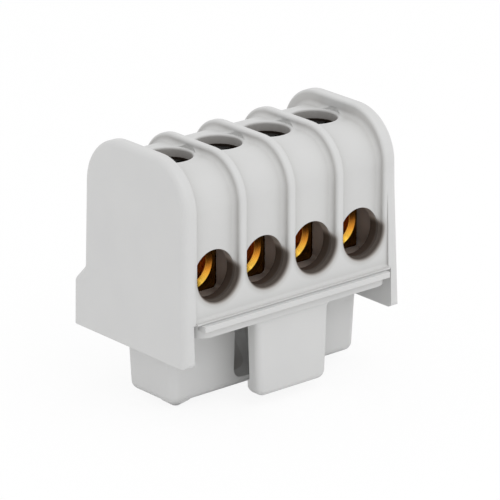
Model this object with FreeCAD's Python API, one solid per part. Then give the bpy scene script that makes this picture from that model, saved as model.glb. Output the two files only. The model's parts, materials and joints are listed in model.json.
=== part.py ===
import FreeCAD, Part
import math
import os
from FreeCAD import Vector

# Four-way terminal strip: a ribbed moulded housing closed from below by a base with a plug-in foot
# and a latch tab, with one brass bar and four clamp screws inside. All sizes are in millimetres.
# While it is drawn, x runs along the strip from its middle, y runs back from the end plates' front
# and z runs up from the end plates' lower edge. place() then moves it to its own origin.

# Strip
ways = 4
pitch = 10.0
end_wall = 3.3                 # end plate, from its outer face to the first channel
plate_height = 32.7
plate_depth = 25.6             # at the top of the rear step
front_slope = 0.03             # the plates' front leans forward towards the bottom
rear_slope = 0.012
end_draft = 0.023              # the plates' outer faces lean outward towards the bottom
front_corner_r = 8.2
rear_corner_r = 8.0
plate_edge_r = 1.1
front_low_r = 0.9              # lower corners of the end plates
rear_low_r = 0.6
step_top = 10.2                # the rear step that runs along the foot of the back wall
step_low = 7.5
step_out = 2.6
step_corner_r = 1.0

# Ribs and channels
face_y = 0.6                   # flat front face, level with the rib crests
crest_front_r = 7.5
crest_rear_r = 7.2
crest_drop = 0.95              # rib crests below the plates' top
crest_rear_drop = 0.8
channel_depth = 1.35
channel_half_width = 4.2
channel_floor_r = 0.7
rear_channel_z = 15.4          # centre of the channels' lower ends at the back
crest_edge_r = 0.55

# Wire entries and screw wells
entry_r = 4.05
entry_z = 13.7
front_wall = 1.7               # behind the channel floor
chamber_half_width = 4.7
chamber_floor = 9.1
chamber_top = 18.6
chamber_r = 0.9
well_r = 3.8
well_y = 12.9
well_edge_r = 0.4
well_seat_r = 4.3              # the channel floor is flat this far around a well

# Brass bar
bar_front_y = 7.2
bar_bottom = 8.6
bar_wall_over_bore = 3.0
bar_end_gap = 0.4
bar_gap = 0.15
bar_edge = 0.4                 # rounding along the bar
wire_bore_r = 3.3
bore_chamfer = 0.7

# Clamp screws, M5, standing open
screw_r = 2.5
thread_clearance = 0.05
head_r = 3.5
head_height = 3.05             # its underside stands 5.6 above the bar, for the travel
head_sink = 1.75               # head below the channel floor
screw_tip_gap = 0.25           # tip above the wire bore
slot_width = 1.2
slot_depth = 1.5
head_edge_r = 0.35
screw_chamfer = 0.5

# Skirt and base
plate_wall = 2.5               # end plate thickness beside the flat face
skirt_relief = 0.5             # thinner by this below the lip
skirt_rear = 25.9              # inside of the rear wall, below the base's top
lip_top = 7.15
lip_bottom = 6.85
lip_front = -0.2
lip_flare_r = 0.6
base_end_gap = 0.7
base_rear_gap = 0.4
base_thickness = 2.4
band_front = -1.1
band_height = 1.05
band_end_inset = 0.6           # its ends behind the base's ends
band_edge_r = 0.15
seam_height = 0.08             # shadow line between the lip and the band
seam_depth = 0.3
base_corner_r = 2.6

# Foot
foot_depth = 9.1               # below the plates' lower edge
foot_front = 7.3
foot_end_inset = 0.55          # the foot's ends behind the base's ends
foot_width = 11.0
foot_flare = 0.5               # what the foot gains on each side up to the base
foot_corner_r = 1.6
foot_bottom_r = 1.5
recess_half_width = 6.6
recess_depth = 6.5
recess_low = 5.2               # the recess floor, at the back
recess_lip = 7.5               # and at the foot's front
recess_r = 1.6
recess_scoop_r = 4.5           # from the recess's back wall to its floor
pip_r = 2.4
pip_end_r = 0.6
pip_height = 1.2
pip_inset = 3.2                # pip's middle behind the foot's left end
pip_back = 3.0                 # and behind its front

# Latch tab
tab_front = 0.4
tab_width = 15.1               # at the base
tab_taper = 0.04               # on each side
tab_thickness = 2.3
tab_reach = 8.7                # below the plates' lower edge
tab_edge_r = 1.0
tab_corner_r = 1.5
tab_root_r = 1.2
catch_out = 0.5
catch_top = 6.3
catch_ramp = 1.2               # height of its slope, from the tab's end
catch_ledge = 0.2              # height of its upper slope

# Sizes that follow
half_length = pitch * (ways - 1) / 2 + channel_half_width + end_wall
way_places = [pitch * (i - (ways - 1) / 2) for i in range(ways)]
crest_top = plate_height - crest_drop
floor_y = face_y + channel_depth
floor_top = crest_top - channel_depth
chamber_front = floor_y + front_wall
bar_depth = 2 * (well_y - bar_front_y)
bar_top = entry_z + wire_bore_r + bar_wall_over_bore
bar_half = pitch * (ways - 1) / 2 + chamber_half_width - bar_end_gap
head_top = floor_top - head_sink
head_bottom = head_top - head_height
screw_tip = entry_z + wire_bore_r + screw_tip_gap
step_rear = plate_depth + step_out
face_half = half_length - plate_wall
skirt_half = face_half + skirt_relief
base_half = skirt_half - base_end_gap
base_bottom = lip_bottom - base_thickness
band_half = base_half - band_end_inset
foot_half = base_half - foot_end_inset
foot_rear = foot_front + foot_width
pip_x = pip_inset - foot_half
pip_y = foot_front + pip_back
far = 60.0                     # past every face, for cutting tools


def box(x0, x1, y0, y1, z0, z1):
    return Part.makeBox(x1 - x0, y1 - y0, z1 - z0, Vector(x0, y0, z0))


def prism_along_x(points, x0, x1):
    """A prism from x0 to x1 whose section is given as (y, z) points."""
    corners = [Vector(x0, y, z) for y, z in points]
    return Part.Face(Part.makePolygon(corners + corners[:1])).extrude(Vector(x1 - x0, 0, 0))


def prism_along_y(points, y0, y1):
    """A prism from y0 to y1 whose section is given as (x, z) points."""
    corners = [Vector(x, y0, z) for x, z in points]
    return Part.Face(Part.makePolygon(corners + corners[:1])).extrude(Vector(0, y1 - y0, 0))


def rod_along_y(x, z, radius, y0, y1):
    return Part.makeCylinder(radius, y1 - y0, Vector(x, y0, z), Vector(0, 1, 0))


def rod_along_z(x, y, radius, z0, z1):
    return Part.makeCylinder(radius, z1 - z0, Vector(x, y, z0), Vector(0, 0, 1))


def samples(edge):
    first, last = edge.ParameterRange
    return [edge.valueAt(first + (last - first) * k / 4) for k in range(5)]


def edges_where(shape, test):
    """The edges whose every sampled point passes the test."""
    return [e for e in shape.Edges if all(test(p) for p in samples(e))]


def near(a, b, tolerance=0.02):
    return abs(a - b) < tolerance


def rounded(shape, radius, test):
    return shape.makeFillet(radius, edges_where(shape, test))


def single(shape):
    """The one solid of a boolean result, with leftover seams removed."""
    return shape.removeSplitter().Solids[0]


def rounded_prism(corners, x0, x1):
    """A prism along the strip with corners given as (y, z, radius)."""
    solid = prism_along_x([(y, z) for y, z, r in corners], x0, x1)
    for y, z, r in corners:
        if r:
            solid = rounded(solid, r, lambda p: near(p.y, y) and near(p.z, z))
    return solid


def plate_solid(x0, x1):
    """An end plate's side view: leaning front, round top, drafted back and rear step."""
    top = plate_height
    return rounded_prism([
        (0, 0, 0),
        (face_y, face_y / front_slope, 0),
        (face_y, top, front_corner_r),
        (plate_depth - rear_slope * (top - step_top), top, rear_corner_r),
        (plate_depth, step_top, step_corner_r),
        (step_rear, step_low, step_corner_r),
        (step_rear, 0, 0),
    ], x0, x1)


def core_solid(inset, x0, x1):
    """The ribbed body at its crests (inset 0) or at its channel floors."""
    top = crest_top - inset
    rear = plate_depth - crest_rear_drop - inset
    return rounded_prism([
        (face_y + inset, 0, 0),
        (face_y + inset, top, crest_front_r - inset),
        (rear - rear_slope * (top - step_top), top, crest_rear_r - inset),
        (rear, step_top, step_corner_r),
        (rear + inset + step_out, step_low, step_corner_r),
        (rear + inset + step_out, 0, 0),
    ], x0, x1)


def end_plate(side):
    """One end plate: drafted outer face, with its outer edges rounded above the lower edge."""
    outer, inner = side * half_length, side * (half_length - end_wall)
    plate = plate_solid(min(outer, inner), max(outer, inner))
    lean = end_draft * far
    wedge = prism_along_y([(outer, 0), (outer - side * lean, far), (outer + side, far),
                           (outer + side, 0)], -far, far)
    plate = plate.cut(wedge)

    def on_outer_face(p):
        return near(abs(p.x), half_length - end_draft * p.z) and p.z > 0.001

    def rim(edge):
        return sum(on_outer_face(p) for p in samples(edge)) >= 4

    return plate.makeFillet(plate_edge_r, [e for e in plate.Edges if rim(e)])


def low_corner(y, radius, inward):
    """What rounding a lower corner along the strip takes away; inward is 1 at the front, -1 behind."""
    middle = y + inward * radius
    block = box(-far, far, min(y - inward, middle), max(y - inward, middle), -1, radius)
    return block.cut(Part.makeCylinder(radius, 2 * far, Vector(-far, middle, radius), Vector(1, 0, 0)))


def channel(x):
    """What is cut away between two ribs: open above, with a round lower end at front and back."""
    w = channel_half_width
    slots = []
    for y0, y1, z in ((-far, well_y, entry_z), (well_y, far, rear_channel_z)):
        slots += [box(x - w, x + w, y0, y1, z, far), rod_along_y(x, z, w, y0, y1)]
    slot = slots[0].fuse(slots[1:]).removeSplitter()
    tool = single(slot.cut(core_solid(channel_depth, -far, far)))
    rear = plate_depth - crest_rear_drop - channel_depth

    def on_floor(p):
        z = entry_z if p.y < well_y else rear_channel_z
        on_side = near(abs(p.x - x), w) and p.z >= z - 0.01
        on_end = p.z <= z + 0.01 and near(math.hypot(p.x - x, p.z - z), w)
        return (on_side or on_end) and floor_y - 0.1 < p.y < rear + 0.1 and p.z < floor_top + 0.1

    seat = rod_along_z(x, well_y, well_seat_r, floor_top, floor_top + channel_floor_r)
    return rounded(tool, channel_floor_r, on_floor).fuse(seat)


def entry(x):
    """A round hole in the front wall and the square chamber between it and the bar."""
    w = chamber_half_width
    hole = rod_along_y(x, entry_z, entry_r, -far, chamber_front + 0.5)
    chamber = box(x - w, x + w, chamber_front, bar_front_y + 1, chamber_floor, chamber_top)
    chamber = rounded(chamber, chamber_r, lambda p: near(abs(p.x - x), w) and (
        near(p.z, chamber_floor) or near(p.z, chamber_top)))
    return hole.fuse(chamber)


def lip():
    """The thin lip along the front, with a hollow flare up to the flat face."""
    r = lip_flare_r
    y, z = face_y - r, lip_top + r
    half = r * math.sqrt(0.5)
    x = -face_half
    outline = [Vector(x, y, lip_top), Vector(x, lip_front, lip_top), Vector(x, lip_front, lip_bottom),
               Vector(x, floor_y, lip_bottom), Vector(x, floor_y, z), Vector(x, face_y, z)]
    edges = [Part.makeLine(a, b) for a, b in zip(outline, outline[1:])]
    edges.append(Part.Arc(outline[-1], Vector(x, y + half, z - half), outline[0]).toShape())
    return Part.Face(Part.Wire(edges)).extrude(Vector(2 * face_half, 0, 0))


def soft_rims(body):
    """Rounds the edges where the channels break out through the crests and the end plate."""
    outsides = [core_solid(0, -half_length, 1), plate_solid(-half_length - 1, 1)]

    def on_rim(p):
        low = entry_z if p.y < well_y else rear_channel_z
        aside = min(abs(p.x - x) for x in way_places)
        return near(math.hypot(aside, min(0, p.z - low)), channel_half_width)

    def outside(p):
        return any(near(s.Shells[0].distToShape(Part.Vertex(p))[0], 0) for s in outsides)

    return rounded(body, crest_edge_r, lambda p: on_rim(p) and outside(p))


def ribbed_half():
    """The left end plate and the ribbed body from there to the strip's middle."""
    half = core_solid(0, end_wall - half_length, 0).fuse(end_plate(-1))
    # The flat face below the channels stands back from the leaning plate.
    half = half.cut(box(-face_half, 1, -far, face_y, -1, face_y / front_slope))
    left_ways = [x for x in way_places if x < channel_half_width]
    for x in left_ways:
        half = half.cut(channel(x))
    half = soft_rims(single(half))
    half = single(half.cut([rod_along_z(x, well_y, well_r, bar_top, far) for x in left_ways]))
    half = rounded(half, well_edge_r, lambda p: near(p.z, floor_top) and any(
        near(math.hypot(p.x - x, p.y - well_y), well_r) for x in left_ways))
    return half.cut([low_corner(0, front_low_r, 1), low_corner(step_rear, rear_low_r, -1)])


def housing():
    half = ribbed_half()
    body = half.fuse(half.mirror(Vector(0, 0, 0), Vector(1, 0, 0)))
    body = single(body).fuse(lip())
    # Open below for the base, and further up for the bar.
    body = body.cut(box(-skirt_half, skirt_half, -far, skirt_rear, -far, lip_bottom))
    g = bar_gap
    room = box(-bar_half - g, bar_half + g, bar_front_y - g, bar_front_y + bar_depth + g,
               lip_bottom - 1, bar_top + g)
    return single(body.cut([room] + [entry(x) for x in way_places]))


def terminal_bar():
    bar = box(-bar_half, bar_half, bar_front_y, bar_front_y + bar_depth, bar_bottom, bar_top)
    bar = rounded(bar, bar_edge, lambda p: near(abs(p.y - well_y), bar_depth / 2) and (
        near(p.z, bar_bottom) or near(p.z, bar_top)))
    cuts = []
    c = bore_chamfer
    for x in way_places:
        cuts.append(rod_along_y(x, entry_z, wire_bore_r, bar_front_y - 1, far))
        mouth = Vector(x, bar_front_y, entry_z)
        cuts.append(Part.makeCone(wire_bore_r + c, wire_bore_r, c, mouth, Vector(0, 1, 0)))
        cuts.append(rod_along_z(x, well_y, screw_r + thread_clearance, entry_z, far))
    return single(bar.cut(cuts))


def clamp_screw(x):
    """A slotted cheese-head screw, drawn standing open."""
    shank = rod_along_z(x, well_y, screw_r, screw_tip, head_top - 1)
    shank = shank.makeChamfer(screw_chamfer, edges_where(shank, lambda p: near(p.z, screw_tip)
                                                         and near(math.hypot(p.x - x, p.y - well_y), screw_r)))
    head = rod_along_z(x, well_y, head_r, head_bottom, head_top)
    head = rounded(head, head_edge_r, lambda p: near(p.z, head_top)
                   and near(math.hypot(p.x - x, p.y - well_y), head_r))
    s = slot_width / 2
    slot = box(x - head_r - 1, x + head_r + 1, well_y - s, well_y + s, head_top - slot_depth, head_top + 1)
    return single(head.fuse(shank).cut(slot))


def foot():
    """The tapered foot with its front recess and pip."""
    bottom, top = -foot_depth, base_bottom + 1

    def rectangle(grow, z):
        corners = [Vector(a * (foot_half + grow), b, z) for a, b in (
            (-1, foot_front - grow), (1, foot_front - grow), (1, foot_rear + grow), (-1, foot_rear + grow))]
        return Part.makePolygon(corners + corners[:1])

    grow = foot_flare * (top - bottom) / (base_bottom - bottom)
    block = Part.makeLoft([rectangle(0, bottom), rectangle(grow, top)], True, True)
    block = block.makeFillet(foot_corner_r, [e for e in block.Edges if
                                             abs(e.Vertexes[0].Z - e.Vertexes[-1].Z) > 1])
    block = rounded(block, foot_bottom_r, lambda p: near(p.z, bottom))
    back = foot_front + recess_depth
    slope = (recess_lip - recess_low) / recess_depth
    recess = rounded_prism([(-1, base_bottom, 0), (back, base_bottom, 0), (back, -recess_low, recess_scoop_r),
                            (-1, -recess_low - slope * (back + 1), 0)],
                           -recess_half_width, recess_half_width)
    recess = rounded(recess, recess_r, lambda p: near(abs(p.x), recess_half_width)
                     and p.z < base_bottom - 0.01 and p.y > -0.99)
    tip, up = Vector(pip_x, pip_y, bottom - pip_height), Vector(0, 0, 1)
    pip = Part.makeCone(pip_end_r, pip_r, pip_height, tip, up)
    pip = rounded(pip, pip_end_r / 2, lambda p: near(p.z, tip.z)
                  and near(math.hypot(p.x - pip_x, p.y - pip_y), pip_end_r))
    neck = rod_along_z(pip_x, pip_y, pip_r, bottom, bottom + 1)
    return block.cut(recess).fuse([pip, neck])


def tab():
    """The latch tab: a tapered tongue with a catch along its back."""
    back = tab_front + tab_thickness
    low, high = -tab_reach, base_bottom + 1
    side = prism_along_x([(tab_front, high), (tab_front, low), (back, low),
                          (back + catch_out, low + catch_ramp), (back + catch_out, -catch_top),
                          (back, catch_ledge - catch_top), (back, high)], -tab_width, tab_width)
    w_high = tab_width / 2 + tab_taper
    w_low = tab_width / 2 - tab_taper * (base_bottom - low)
    front = prism_along_y([(-w_high, high), (-w_low, low), (w_low, low), (w_high, high)], tab_front, far)
    front = rounded(front, tab_corner_r, lambda p: near(p.z, low) and near(abs(p.x), w_low))
    front = rounded(front, tab_edge_r, lambda p: near(p.y, tab_front) and p.z < high - 0.01)
    return side.common(front)


def base():
    plate = box(-base_half, base_half, lip_front, skirt_rear - base_rear_gap, base_bottom, lip_bottom)
    plate = rounded(plate, base_corner_r, lambda p: near(abs(p.x), base_half) and near(p.y, lip_front))
    band = box(-band_half, band_half, band_front, lip_front + base_corner_r, lip_bottom - band_height,
               lip_bottom)
    seam = box(-base_half, base_half, band_front, lip_front + seam_depth, lip_bottom - seam_height,
               lip_bottom)
    band = rounded(band.cut(seam), band_edge_r, lambda p: near(p.y, band_front))
    g = bar_gap
    seat = box(-bar_half, bar_half, bar_front_y + g, bar_front_y + bar_depth - g, lip_bottom - 1, bar_bottom)
    body = single(plate.cut(seam).fuse([band, seat, tab()]))
    body = rounded(body, tab_root_r, lambda p: near(p.z, base_bottom) and abs(p.x) < tab_width / 2 + 0.05
                   and tab_front - 0.01 < p.y < tab_front + tab_thickness + 0.01)
    return single(body.fuse(foot()))


def place(shape):
    """Moves a finished piece to the origin: under the middle, at the height of the pip's end."""
    middle_y = (band_front + step_rear) / 2
    return shape.translated(Vector(0, -middle_y, foot_depth + pip_height))


pieces = {"housing": housing(), "base": base(), "terminal_bar": terminal_bar()}
for number, x in enumerate(way_places, 1):
    pieces["clamp_screw_" + str(number)] = clamp_screw(x)

os.makedirs("parts", exist_ok=True)
for name, shape in pieces.items():
    place(shape).exportStep("parts/" + name + ".step")
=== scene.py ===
import json
import math

import bpy
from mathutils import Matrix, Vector


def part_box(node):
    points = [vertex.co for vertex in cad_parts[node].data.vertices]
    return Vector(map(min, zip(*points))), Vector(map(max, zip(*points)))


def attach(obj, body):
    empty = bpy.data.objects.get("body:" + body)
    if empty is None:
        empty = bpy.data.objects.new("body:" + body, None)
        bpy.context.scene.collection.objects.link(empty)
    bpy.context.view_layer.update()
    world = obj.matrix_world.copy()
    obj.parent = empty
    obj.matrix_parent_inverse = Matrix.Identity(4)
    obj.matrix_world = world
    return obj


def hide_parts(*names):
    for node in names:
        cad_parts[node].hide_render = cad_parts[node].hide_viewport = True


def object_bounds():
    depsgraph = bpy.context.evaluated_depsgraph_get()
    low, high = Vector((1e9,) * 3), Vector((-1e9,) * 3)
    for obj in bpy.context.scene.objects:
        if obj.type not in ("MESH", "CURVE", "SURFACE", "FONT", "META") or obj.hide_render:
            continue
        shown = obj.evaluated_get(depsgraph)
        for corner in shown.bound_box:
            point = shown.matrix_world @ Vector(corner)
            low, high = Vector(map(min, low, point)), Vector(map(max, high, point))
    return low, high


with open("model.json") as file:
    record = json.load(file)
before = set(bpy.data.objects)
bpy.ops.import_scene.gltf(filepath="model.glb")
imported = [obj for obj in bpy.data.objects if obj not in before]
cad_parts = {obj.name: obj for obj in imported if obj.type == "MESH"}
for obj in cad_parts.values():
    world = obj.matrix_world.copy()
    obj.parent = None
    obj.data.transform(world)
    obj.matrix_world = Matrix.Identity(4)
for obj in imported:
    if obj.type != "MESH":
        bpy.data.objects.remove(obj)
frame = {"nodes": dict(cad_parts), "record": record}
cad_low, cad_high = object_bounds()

# A four-way terminal strip in light grey plastic, seen from its front left and a little above.
# X runs along the strip, Y to its back and Z up. Lengths are in metres, written as millimetres
# times MM.
MM = 0.001

# Wire entries, the square chambers behind them and the bores in the brass bar. The bores and the
# entries share their axes.
bores = [mount for mount in frame["record"]["mounts"] if mount["kind"] == "bore"]
WAY_X = [bore["pos_m"][0] for bore in bores]
PITCH = WAY_X[1] - WAY_X[0]            # from one way to the next
ENTRY_Z = bores[0]["pos_m"][2]
ENTRY_R = 4.05 * MM
RIM_R = 5.5 * MM                       # the painted shade of an entry reaches this far over its rim
RIM_BACK = -9.0 * MM                   # entries and rims lie in front of this
CHAMBER_R = 6.6 * MM                   # to a chamber's corners
CHAMBER_FRONT, CHAMBER_BACK = -11.1 * MM, -4.0 * MM
BORE_R = bores[0]["dims"]["r_mm"] * MM
COUNTERSINK_R = BORE_R + 0.7 * MM
PLATE_X = cad_high.x - 2.7 * MM        # all entries and wells lie within this, on both sides

# Clamp screws, to the nearest 0.001 mm, because the frame's corners are a little less exact
screw_low, screw_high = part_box("clamp_screw_1")
HEAD_TOP, TIP = round(screw_high.z, 6), round(screw_low.z, 6)
HEAD_R = round((screw_high.x - screw_low.x) / 2, 6)
HEAD_BOTTOM = HEAD_TOP - 3.05 * MM
HEAD_ROUND = 0.35 * MM                 # rounding of the head's rim
SLOT_WIDTH, SLOT_DEPTH = 1.2 * MM, 1.5 * MM
BROKEN_EDGE = 0.06 * MM
POINT_LENGTH, POINT_SHARE = 0.5 * MM, 0.78   # the point narrows to this share of the shank
THREAD_CREST, THREAD_ROOT, THREAD_PITCH = 2.5 * MM, 2.02 * MM, 0.8 * MM
THREAD_STEPS = 40                      # straight steps in one turn

# Screw wells
WELL_Y = round((screw_low.y + screw_high.y) / 2, 6)
WELL_R = 3.8 * MM
SEAT_R = 4.4 * MM                      # the flat seat around a well
SHADE_BAND_BOTTOM = 30 * MM                # no painted shade on the wells' walls below this

# Lamp and camera; the camera was fitted to the photo
LAMP_TARGET, LAMP_DISTANCE = Vector((0, 0, 20)) * MM, 600 * MM
LAMP_AZIMUTH, LAMP_ELEVATION = 15, 55
CAMERA_TARGET, CAMERA_DISTANCE = Vector((1.19, -1.15, 21.31)) * MM, 622.5 * MM
CAMERA_AZIMUTH, CAMERA_ELEVATION = -40.34, 19.88


# Materials

def linear(hex_colour):
    """An sRGB colour such as "cfcfcf" as linear RGBA."""
    channels = [int(hex_colour[i:i + 2], 16) / 255 for i in (0, 2, 4)]
    return [c / 12.92 if c <= 0.04045 else ((c + 0.055) / 1.055) ** 2.4 for c in channels] + [1.0]


def add(tree, kind, inputs, **settings):
    """Adds a node with its settings. Each input is a value, or the output it is linked from."""
    node = tree.nodes.new("ShaderNode" + kind)
    for name, value in settings.items():
        setattr(node, name, value)
    for socket, value in inputs.items():
        if isinstance(value, bpy.types.NodeSocket):
            tree.links.new(value, node.inputs[socket])
        else:
            node.inputs[socket].default_value = value
    return node


def new_material(name, **values):
    """A material with its main shader's own sockets set."""
    material = bpy.data.materials.new(name)
    material.use_nodes = True
    shader = material.node_tree.nodes["Principled BSDF"]
    for socket, value in values.items():
        shader.inputs[socket.replace("_", " ")].default_value = value
    return material, material.node_tree, shader


def way_radius(tree, across, centre):
    """The distance from the nearest way's axis, which stands upright where across is Y and runs
    from front to back where across is Z. Also the place itself, in X, Y and Z."""
    place = add(tree, "TexCoord", {})
    parts = add(tree, "SeparateXYZ", {0: place.outputs["Object"]})
    from_way = add(tree, "Math", {0: parts.outputs["X"], 1: -WAY_X[0]}, operation="ADD")
    beside = add(tree, "Math", {0: from_way.outputs[0], 1: PITCH / 2}, operation="PINGPONG")
    along = add(tree, "Math", {0: parts.outputs[across], 1: -centre}, operation="ADD")
    flat = add(tree, "CombineXYZ", {0: beside.outputs[0], 1: along.outputs[0]})
    radius = add(tree, "VectorMath", {0: flat.outputs[0]}, operation="LENGTH")
    return radius.outputs["Value"], parts


def region(tree, *borders):
    """A mask that is 1 inside a region and 0 outside. A border is a length, the value up to which
    the place is inside, and the value from which it is outside."""
    inside = None
    for length, last_in, first_out in borders:
        border = add(tree, "MapRange", {0: length, 1: last_in, 2: first_out, 3: 1.0, 4: 0.0},
                     interpolation_type="SMOOTHSTEP").outputs[0]
        if inside:
            border = add(tree, "Math", {0: inside, 1: border}, operation="MULTIPLY").outputs[0]
        inside = border
    return inside


def moulded_polyamide():
    """Polyamide 6, injection moulded in a spark-eroded tool: an even light grey with a silky,
    faintly grained skin. Painted shade darkens its hollows and makes it warm and dark in the wire
    entries and over their lower rims, and less so down the screw wells."""
    material, tree, shader = new_material("polyamide_moulded", IOR=1.53)
    place = add(tree, "TexCoord", {})
    # Flow of the melt: cloudy changes of tone, about 9 mm across.
    cloud = add(tree, "TexNoise", {"Vector": place.outputs["Object"], "Scale": 1 / (9 * MM),
                                   "Detail": 2.0})
    skin = add(tree, "MixRGB", {0: cloud.outputs[0], 1: linear("c8c8c8"), 2: linear("cececd")})

    # Painted shade in the hollows, from how shut in a place is, from 0 outside to 1 deep in a hole,
    # and how much that counts there: more higher up, little on the seats round the wells and most
    # inside the wells.
    open_to = add(tree, "AmbientOcclusion", {"Distance": 9 * MM}, samples=12, only_local=True)
    shut_in = add(tree, "Math", {0: 1.0, 1: open_to.outputs["AO"]}, operation="SUBTRACT")
    entry_radius, parts = way_radius(tree, "Z", ENTRY_Z)
    well_radius, _ = way_radius(tree, "Y", WELL_Y)
    x, y, z = (parts.outputs[axis] for axis in "XYZ")
    height = add(tree, "MapRange", {0: z, 1: 14 * MM, 2: 26 * MM, 3: 0.22, 4: 0.7})
    seat = add(tree, "MapRange", {0: well_radius, 1: SEAT_R, 2: SEAT_R + 0.6 * MM, 3: 0.3, 4: 1.0})
    outer = add(tree, "Math", {0: height.outputs[0], 1: seat.outputs[0]}, operation="MULTIPLY")
    well = add(tree, "MapRange", {0: well_radius, 1: WELL_R + 0.05 * MM, 2: WELL_R + 0.2 * MM,
                                  3: 0.75, 4: 0.0})
    weight = add(tree, "Math", {0: outer.outputs[0], 1: well.outputs[0]}, operation="MAXIMUM")
    depth = add(tree, "Math", {0: shut_in.outputs[0], 1: weight.outputs[0]}, operation="MULTIPLY")

    # Painted shade on the wall of each wire entry and over its rounded lower rim, where it fades
    # out to the face.
    side = add(tree, "Math", {0: x}, operation="ABSOLUTE").outputs[0]
    between_plates = (side, PLATE_X, PLATE_X + 0.6 * MM)
    fading = add(tree, "MapRange", {0: entry_radius, 1: ENTRY_R - 0.05 * MM, 2: RIM_R,
                                    3: 0.9, 4: 0.0})
    rim = add(tree, "Math", {0: fading.outputs[0], 1: 1.7}, operation="POWER")
    wall_or_rim = add(tree, "MapRange", {0: entry_radius, 1: ENTRY_R + 0.01 * MM,
                                         2: ENTRY_R + 0.07 * MM, 3: 0.68, 4: rim.outputs[0]})
    lower = region(tree, (z, ENTRY_Z + 0.3 * MM, ENTRY_Z + 3 * MM),
                   (y, RIM_BACK, RIM_BACK + 1 * MM), between_plates)
    hole = add(tree, "Math", {0: wall_or_rim.outputs[0], 1: lower}, operation="MULTIPLY")

    # Painted shade on the wells' walls, from just above the screw heads' tops down.
    head_shade = region(tree, (well_radius, WELL_R + 0.05 * MM, WELL_R + 0.2 * MM),
                    (z, HEAD_TOP + 0.1 * MM, HEAD_TOP + 0.3 * MM),
                    (z, SHADE_BAND_BOTTOM + 1 * MM, SHADE_BAND_BOTTOM), between_plates)
    dark = add(tree, "Math", {0: depth.outputs[0], 1: hole.outputs[0]}, operation="MAXIMUM")
    dark = add(tree, "Math", {0: dark.outputs[0], 1: head_shade}, operation="MAXIMUM")
    shade = add(tree, "ValToRGB", {0: dark.outputs[0]})
    stops = shade.color_ramp.elements
    stops[0].color, stops[1].color = linear("ffffff"), linear("383029")
    for amount, colour in ((0.1, "f6f6f5"), (0.35, "e6e4e2"), (0.5, "bcb6b1"), (0.65, "7b726b"),
                           (0.85, "4d443e")):
        stops.new(amount).color = linear(colour)
    shaded = add(tree, "MixRGB", {0: 1.0, 1: skin.outputs[0], 2: shade.outputs[0]},
                 blend_type="MULTIPLY")
    # Painted warm shade in the chambers behind the entries, standing in for light thrown back off
    # the brass in them.
    chamber = region(tree, (entry_radius, CHAMBER_R - 0.6 * MM, CHAMBER_R),
                     (y, CHAMBER_FRONT, CHAMBER_FRONT - 0.4 * MM),
                     (y, CHAMBER_BACK, CHAMBER_BACK + 1 * MM), between_plates)
    colour = add(tree, "MixRGB", {0: chamber, 1: shaded.outputs[0], 2: linear("d6c9c1")},
                 blend_type="MULTIPLY")
    tree.links.new(colour.outputs[0], shader.inputs["Base Color"])

    # Little light reaches the dark places to be mirrored there.
    mirrored = add(tree, "MapRange", {0: dark.outputs[0], 1: 0.15, 2: 0.5, 3: 0.5, 4: 0.05})
    tree.links.new(mirrored.outputs[0], shader.inputs["Specular IOR Level"])
    # Spark-eroded grain is about 0.05 mm; it is drawn 0.2 mm coarse so that it shows.
    grain = add(tree, "TexNoise", {"Vector": place.outputs["Object"], "Scale": 1 / (0.2 * MM),
                                   "Detail": 2.0})
    sheen = add(tree, "MapRange", {0: grain.outputs[0], 3: 0.38, 4: 0.52})
    tree.links.new(sheen.outputs[0], shader.inputs["Roughness"])
    bump = add(tree, "Bump", {"Height": grain.outputs[0], "Strength": 0.08, "Distance": 0.03 * MM})
    tree.links.new(bump.outputs[0], shader.inputs["Normal"])
    return material


def turned_brass():
    """Free-cutting brass, sawn from bar and drilled: painted shade makes it dark brown on the face,
    in patches; warm orange in the bores; yellow on the countersinks, painted bright low down as a
    highlight and brown higher up as shade, with fine rings around them."""
    material, tree, shader = new_material("brass_machined", Metallic=1.0)
    place = add(tree, "TexCoord", {})
    radius, parts = way_radius(tree, "Z", ENTRY_Z)
    # Painted highlight and shade on the countersinks: bright yellow at their lower edge, darkening
    # to brown towards the top.
    up = add(tree, "MapRange", {0: parts.outputs["Z"], 1: ENTRY_Z - COUNTERSINK_R,
                                2: ENTRY_Z + 3 * MM}, interpolation_type="SMOOTHSTEP")
    countersunk = add(tree, "ValToRGB", {0: up.outputs[0]})
    stops = countersunk.color_ramp.elements
    stops[0].color, stops[1].color = linear("ffd058"), linear("5a3a14")
    for amount, colour in ((0.15, "ffbc46"), (0.3, "ee9d38"), (0.6, "b06c26")):
        stops.new(amount).color = linear(colour)
    in_bore = region(tree, (radius, BORE_R, BORE_R + 0.1 * MM))
    bored = add(tree, "MixRGB", {0: in_bore, 1: countersunk.outputs[0], 2: linear("ffb650")})
    # Painted shade on the bar's face: dark brown, in random patches of about 3 mm.
    face_patches = add(tree, "TexNoise", {"Vector": place.outputs["Object"], "Scale": 1 / (3 * MM),
                                     "Detail": 4.0})
    face_shade = add(tree, "MixRGB", {0: face_patches.outputs[0], 1: linear("8e6424"), 2: linear("6a4618")})
    on_face = region(tree, (radius, COUNTERSINK_R + 0.07 * MM, COUNTERSINK_R - 0.03 * MM))
    tone = add(tree, "MixRGB", {0: on_face, 1: bored.outputs[0], 2: face_shade.outputs[0]})
    tree.links.new(tone.outputs[0], shader.inputs["Base Color"])
    # The drill's feed leaves rings about 0.15 mm apart.
    rings = add(tree, "CombineXYZ", {0: radius, 1: parts.outputs["Y"]})
    feed = add(tree, "TexNoise", {"Vector": rings.outputs[0], "Scale": 1 / (0.15 * MM),
                                  "Detail": 1.0})
    dull = add(tree, "MapRange", {0: feed.outputs[0], 3: 0.2, 4: 0.32})
    tree.links.new(dull.outputs[0], shader.inputs["Roughness"])
    bump = add(tree, "Bump", {"Height": feed.outputs[0], "Strength": 0.1, "Distance": 0.02 * MM})
    tree.links.new(bump.outputs[0], shader.inputs["Normal"])
    return material


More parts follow.
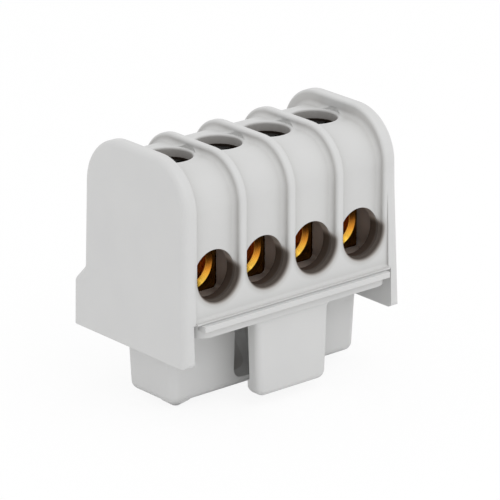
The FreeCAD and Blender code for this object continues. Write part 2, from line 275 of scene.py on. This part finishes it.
def blackened_steel():
    """Steel screws with a black oxide finish: near black with a dull oily shine, and turning rings
    on the heads."""
    material, tree, shader = new_material("steel_black_oxide", Metallic=0.5)
    place = add(tree, "TexCoord", {})
    # The finish clouds over in patches of about 1.5 mm.
    bloom = add(tree, "TexNoise", {"Vector": place.outputs["Object"], "Scale": 1 / (1.5 * MM),
                                   "Detail": 4.0})
    tone = add(tree, "MixRGB", {0: bloom.outputs[0], 1: linear("0b0a0a"), 2: linear("171514")})
    tree.links.new(tone.outputs[0], shader.inputs["Base Color"])
    # The lathe's feed leaves rings about 0.12 mm apart.
    radius, _ = way_radius(tree, "Y", WELL_Y)
    rings = add(tree, "CombineXYZ", {0: radius})
    feed = add(tree, "TexNoise", {"Vector": rings.outputs[0], "Scale": 1 / (0.12 * MM),
                                  "Detail": 1.0})
    dull = add(tree, "MapRange", {0: feed.outputs[0], 3: 0.3, 4: 0.5})
    tree.links.new(dull.outputs[0], shader.inputs["Roughness"])
    bump = add(tree, "Bump", {"Height": feed.outputs[0], "Strength": 0.12, "Distance": 0.02 * MM})
    tree.links.new(bump.outputs[0], shader.inputs["Normal"])
    return material


finishes = {"moulding": moulded_polyamide(), "brass": turned_brass(),
            "black_steel": blackened_steel()}
for part in frame["record"]["subparts"]:
    node = frame["nodes"][part["node"]]
    node.data.materials.clear()
    node.data.materials.append(finishes[part["material_slot"]])


# Clamp screws

def select_only(*objects):
    bpy.ops.object.select_all(action="DESELECT")
    for o in objects:
        o.select_set(True)
    bpy.context.view_layer.objects.active = objects[0]


def apply_modifier(o, kind, **settings):
    select_only(o)
    modifier = o.modifiers.new("step", kind)
    for name, value in settings.items():
        setattr(modifier, name, value)
    bpy.ops.object.modifier_apply(modifier="step")


def settle(o):
    """Moves an object's place, turn and size into its mesh."""
    select_only(o)
    bpy.ops.object.transform_apply(location=True, rotation=True, scale=True)


def combine(o, other, operation):
    """Joins another closed piece to this one, or cuts it away."""
    apply_modifier(o, "BOOLEAN", operation=operation, object=other, solver="EXACT")
    bpy.data.objects.remove(other)


def edit_faces(o, test):
    """Goes into edit mode with just the faces selected whose middle and normal pass the test."""
    select_only(o)
    bpy.ops.object.mode_set(mode="EDIT")
    bpy.ops.mesh.select_mode(type="FACE")
    bpy.ops.mesh.select_all(action="DESELECT")
    bpy.ops.object.mode_set(mode="OBJECT")
    for face in o.data.polygons:
        face.select = test(face.center, face.normal)
    bpy.ops.object.mode_set(mode="EDIT")


def threaded_shank():
    """A thread drawn one pitch long, screwed up along the shank and cut square at both ends, with
    a short point below."""
    start, cut, top = TIP - THREAD_PITCH, TIP + POINT_LENGTH, HEAD_BOTTOM + 0.5 * MM
    bpy.ops.object.select_all(action="DESELECT")
    bpy.ops.mesh.primitive_plane_add(size=MM, location=(0, 0, 0))
    shank = bpy.context.object
    # The plane shrinks to one point, and that point draws a flank, the crest, a flank and the root.
    bpy.ops.object.mode_set(mode="EDIT")
    bpy.ops.mesh.select_all(action="SELECT")
    bpy.ops.mesh.merge(type="CENTER")
    bpy.ops.transform.translate(value=(THREAD_ROOT, 0, start))
    rise = THREAD_CREST - THREAD_ROOT
    for out, share in ((rise, 0.31), (0, 0.13), (-rise, 0.31), (0, 0.25)):
        step = (out, 0, share * THREAD_PITCH)
        bpy.ops.mesh.extrude_vertices_move(TRANSFORM_OT_translate={"value": step})
    bpy.ops.object.mode_set(mode="OBJECT")
    turns = math.ceil((top - start) / THREAD_PITCH) + 1
    apply_modifier(shank, "SCREW", axis="Z", screw_offset=THREAD_PITCH, iterations=turns,
                   steps=THREAD_STEPS, render_steps=THREAD_STEPS, use_merge_vertices=True,
                   merge_threshold=0.001 * MM)
    for height, up in ((cut, 1), (top, -1)):
        bpy.ops.object.mode_set(mode="EDIT")
        bpy.ops.mesh.select_all(action="SELECT")
        bpy.ops.mesh.bisect(plane_co=(0, 0, height), plane_no=(0, 0, up), use_fill=True,
                            clear_inner=True)
        bpy.ops.object.mode_set(mode="OBJECT")
    # The point: the lower end drawn down and in.
    edit_faces(shank, lambda middle, normal: (abs(middle.z - cut) < 0.01 * MM
                                              and abs(normal.z) > 0.9))
    bpy.ops.mesh.extrude_region_move(TRANSFORM_OT_translate={"value": (0, 0, TIP - cut)})
    bpy.ops.transform.resize(value=(POINT_SHARE, POINT_SHARE, 1), center_override=(0, 0, TIP))
    bpy.ops.mesh.select_all(action="SELECT")
    bpy.ops.mesh.normals_make_consistent(inside=False)
    bpy.ops.object.mode_set(mode="OBJECT")
    return shank


def slotted_head():
    """A cheese head: a short cylinder with a rounded rim and a driver slot with broken edges."""
    bpy.ops.object.select_all(action="DESELECT")
    bpy.ops.mesh.primitive_cylinder_add(vertices=96, radius=HEAD_R, depth=HEAD_TOP - HEAD_BOTTOM,
                                        location=(0, 0, (HEAD_TOP + HEAD_BOTTOM) / 2))
    head = bpy.context.object
    settle(head)
    edit_faces(head, lambda middle, normal: normal.z > 0.9)
    bpy.ops.mesh.bevel(offset=HEAD_ROUND, segments=4, affect="EDGES")
    bpy.ops.object.mode_set(mode="OBJECT")
    # The cutter reaches as far over the head's top as it goes down into it.
    bpy.ops.object.select_all(action="DESELECT")
    bpy.ops.mesh.primitive_cube_add(size=1, location=(0, 0, HEAD_TOP))
    slot = bpy.context.object
    slot.scale = (3 * HEAD_R, SLOT_WIDTH, 2 * SLOT_DEPTH)
    settle(slot)
    combine(head, slot, "DIFFERENCE")
    apply_modifier(head, "BEVEL", width=BROKEN_EDGE, segments=2, limit_method="ANGLE",
                   angle_limit=math.radians(50))
    return head


model = slotted_head()
combine(model, threaded_shank(), "UNION")
select_only(model)
bpy.ops.object.shade_smooth_by_angle(angle=math.radians(35))
model.data.materials.clear()
model.data.materials.append(finishes["black_steel"])
for number, x in enumerate(WAY_X, 1):
    screw = model.copy()
    screw.data = model.data.copy()
    screw.name = "screw_" + str(number)
    bpy.context.collection.objects.link(screw)
    screw.location = (x, WELL_Y, 0)
    settle(screw)
    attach(screw, "clamp_screw_" + str(number))
    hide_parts("clamp_screw_" + str(number))
bpy.data.objects.remove(model)


# Floor, light and camera

def white_for_camera(shade, share):
    """Shows a floor or world as plain white by a share, and leaves the light it gives as it is."""
    tree = shade.node_tree
    output = next(n for n in tree.nodes if n.type in ("OUTPUT_MATERIAL", "OUTPUT_WORLD"))
    lit = output.inputs["Surface"].links[0].from_socket
    path = add(tree, "LightPath", {})
    seen = add(tree, "Math", {0: path.outputs["Is Camera Ray"],
                              1: path.outputs["Is Transmission Ray"]}, operation="MAXIMUM")
    amount = add(tree, "Math", {0: seen.outputs[0], 1: share}, operation="MULTIPLY")
    white = add(tree, "Background" if output.type == "OUTPUT_WORLD" else "Emission",
                {"Color": (1, 1, 1, 1), "Strength": 1.0})
    mixed = add(tree, "MixShader", {0: amount.outputs[0], 1: lit, 2: white.outputs[0]})
    tree.links.new(mixed.outputs[0], output.inputs["Surface"])


# A part of the floor's own shading stays, so that the strip's shadow shows on it.
bpy.ops.object.select_all(action="DESELECT")
bpy.ops.mesh.primitive_plane_add(size=6.0, location=(0, 0, 0))
floor = bpy.context.object
floor.name = "floor"
floor_paint, _, _ = new_material("floor_paint", Base_Color=linear("f7f7f7"), Roughness=0.8)
floor.data.materials.append(floor_paint)
white_for_camera(floor_paint, share=0.9)

world = bpy.data.worlds.new("studio")
bpy.context.scene.world = world
world.use_nodes = True
sky = world.node_tree.nodes["Background"]
sky.inputs["Color"].default_value = (1, 1, 1, 1)
sky.inputs["Strength"].default_value = 0.97
white_for_camera(world, share=1.0)


def look_from(azimuth, elevation):
    """The direction towards a viewer or lamp, from its azimuth and elevation in degrees."""
    a, e = math.radians(azimuth), math.radians(elevation)
    return Vector((math.sin(a) * math.cos(e), -math.cos(a) * math.cos(e), math.sin(e)))


def aim(o, direction):
    """Turns a lamp or camera to look back along the direction that it stands in."""
    o.rotation_mode = "QUATERNION"
    o.rotation_quaternion = (-direction).to_track_quat("-Z", "Y")


# One large soft lamp, at the front right and high up
lamp_side = look_from(LAMP_AZIMUTH, LAMP_ELEVATION)
bpy.ops.object.light_add(type="AREA", location=LAMP_TARGET + lamp_side * LAMP_DISTANCE)
lamp = bpy.context.object
lamp.name = "key"
lamp.data.shape = "SQUARE"
lamp.data.size = 0.4
lamp.data.energy = 0.63
aim(lamp, lamp_side)

camera_side = look_from(CAMERA_AZIMUTH, CAMERA_ELEVATION)
bpy.ops.object.camera_add(location=CAMERA_TARGET + camera_side * CAMERA_DISTANCE)
camera = bpy.context.object
aim(camera, camera_side)
camera.data.sensor_width = 36.0
camera.data.lens = 281.2
camera.data.clip_start, camera.data.clip_end = 0.02, 20.0
bpy.context.scene.camera = camera

bpy.context.scene.view_settings.view_transform = "Standard"
